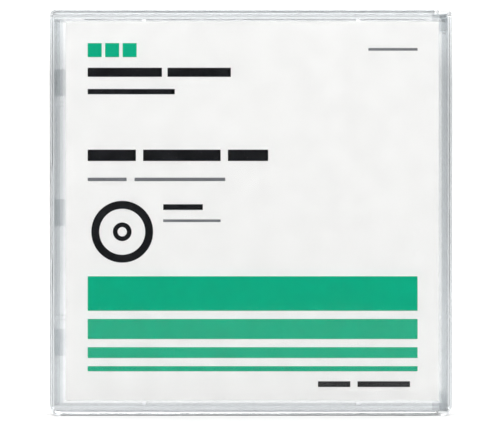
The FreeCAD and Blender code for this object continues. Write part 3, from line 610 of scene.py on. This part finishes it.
def floorMaterial():
    material, tree, shader = newMaterial("paleFloor")
    grain = noise(tree, objectPlace(tree), paleFloor["grainSize"], detail=3.0)
    tone = paleFloor["tone"]
    pale = (tone, tone, tone, 1.0)
    tint = blendColour(tree, grain, pale, darker(pale, paleFloor["grainShade"]))
    tree.links.new(tint, shader.inputs["Base Color"])
    place = separate(tree, objectPlace(tree))
    table = spread(tree, place["Y"], paleFloor["tableGlow"], 0.0, *paleFloor["tableDepths"])
    backdrop = spread(tree, place["Z"], 0.0, paleFloor["backdropGlow"], *paleFloor["backdropHeights"])
    tree.links.new(maths(tree, "MAXIMUM", table, backdrop), shader.inputs["Emission Strength"])
    setSockets(shader, {"Roughness": 0.8, "Specular IOR Level": 0.1, "Emission Color": (1.0, 1.0, 1.0, 1.0)})
    return material


def sweepFloor():
    reach, radius, steps = paleFloor["reach"], paleFloor["sweepRadius"], paleFloor["sweepSteps"]
    profile = [(-reach, 0.0), (reach - radius, 0.0)]
    for k in range(1, steps + 1):
        angle = math.pi / 2 * k / steps
        profile.append((reach - radius + radius * math.sin(angle), radius * (1 - math.cos(angle))))
    profile.append((reach, reach))
    points = [(x, y, z) for y, z in profile for x in (-reach, reach)]
    faces = [(2 * k, 2 * k + 1, 2 * k + 3, 2 * k + 2) for k in range(len(profile) - 1)]
    floor = plane("pale_floor", points, faces, floorMaterial())
    for face in floor.data.polygons:
        face.use_smooth = True


# Black flags that reflections see and the camera doesn't, so that the flat lid mirrors nothing bright
flags = {
    "wide": 0.2,
    "high": 0.3,
    "floorNear": 0.02,
    "floorLift": 0.0002,
    "pastCamera": 0.1,
}


def blackFlags():
    material, tree, shader = newMaterial("flagBlack")
    setSockets(shader, {"Base Color": (0.0, 0.0, 0.0, 1.0), "Roughness": 1.0, "Specular IOR Level": 0.0})
    wide, high, lift = flags["wide"], flags["high"], flags["floorLift"]
    near, far = cadLow.y - flags["floorNear"], cadLow.y - studio["distance"] - flags["pastCamera"]
    upright = [(-wide, far, lift), (wide, far, lift), (wide, far, high), (-wide, far, high)]
    level = [(-wide, far, lift), (wide, far, lift), (wide, near, lift), (-wide, near, lift)]
    for name, points in (("flag_upright", upright), ("flag_level", level)):
        flag = plane(name, points, [(0, 1, 2, 3)], material)
        flag.visible_camera = False
        flag.visible_diffuse = False
        flag.visible_shadow = False
        flag.visible_transmission = name == "flag_upright"   # the level one would dim the card behind the lid


softboxes = {
    "topSoftbox": {"place": (0, -0.15, 0.8), "size": (0.8, 0.6), "power": 4.0},
    "leftSoftbox": {"place": (-0.9, -0.9, 0.5), "size": (0.7, 0.7), "power": 4.5},
    "rightSoftbox": {"place": (0.9, -0.9, 0.5), "size": (0.7, 0.7), "power": 4.5},
}


# Each softbox faces the middle of the case
def studioLights():
    heart = Vector((0, 0, cadHigh.z / 2))
    for name, box in softboxes.items():
        light = bpy.data.lights.new(name, "AREA")
        light.shape = "RECTANGLE"
        light.size, light.size_y = box["size"]
        light.energy = box["power"]
        holder = bpy.data.objects.new(name, light)
        holder.location = box["place"]
        holder.rotation_euler = (heart - Vector(box["place"])).to_track_quat("-Z", "Y").to_euler()
        bpy.context.scene.collection.objects.link(holder)


# The air's strength grows towards the front and towards the top, between these parts of a direction
tent = {
    "sides": 0.55,
    "front": 0.72, "frontLimits": (-0.9, 0.1),
    "top": 1.0, "topLimits": (0.1, 0.9),
}


def studioAir():
    world = bpy.data.worlds.new("studioAir")
    world.use_nodes = True
    tree = world.node_tree
    background = tree.nodes["Background"]
    direction = separate(tree, tree.nodes.new("ShaderNodeTexCoord").outputs["Generated"])
    front = spread(tree, direction["Y"], tent["front"], 0.0, *tent["frontLimits"])
    top = spread(tree, direction["Z"], 0.0, tent["top"], *tent["topLimits"])
    bright = maths(tree, "ADD", maths(tree, "ADD", front, top), tent["sides"])
    tree.links.new(bright, background.inputs["Strength"])
    background.inputs["Color"].default_value = (1.0, 1.0, 1.0, 1.0)
    bpy.context.scene.world = world


# Square on to the card, so that the case stands where it does in the photo
def photoCamera():
    camera = bpy.data.cameras.new("photoCamera")
    camera.sensor_width = studio["sensorWidth"]
    width = studio["pictureWidth"] / studio["pixelsPerMetre"]
    camera.lens = camera.sensor_width * studio["distance"] / width
    camera.clip_start = studio["nearest"]
    camera.clip_end = studio["farthest"]
    offsetX = (studio["pictureMiddle"][0] - studio["caseMiddlePixel"][0]) / studio["pixelsPerMetre"]
    offsetZ = (studio["caseMiddlePixel"][1] - studio["pictureMiddle"][1]) / studio["pixelsPerMetre"]
    holder = bpy.data.objects.new("photoCamera", camera)
    holder.location = (offsetX, cadLow.y - studio["distance"], (cadLow.z + cadHigh.z) / 2 + offsetZ)
    holder.rotation_euler = (math.pi / 2, 0, 0)
    bpy.context.scene.collection.objects.link(holder)
    bpy.context.scene.camera = holder


sweepFloor()
blackFlags()
studioAir()
studioLights()
photoCamera()
bpy.context.scene.view_settings.view_transform = "Standard"
paths = bpy.context.scene.cycles    # light runs along inside the clear walls, so its paths may be long
paths.max_bounces = paths.glossy_bounces = paths.transmission_bounces = studio["pathLength"]
print("studio ready")
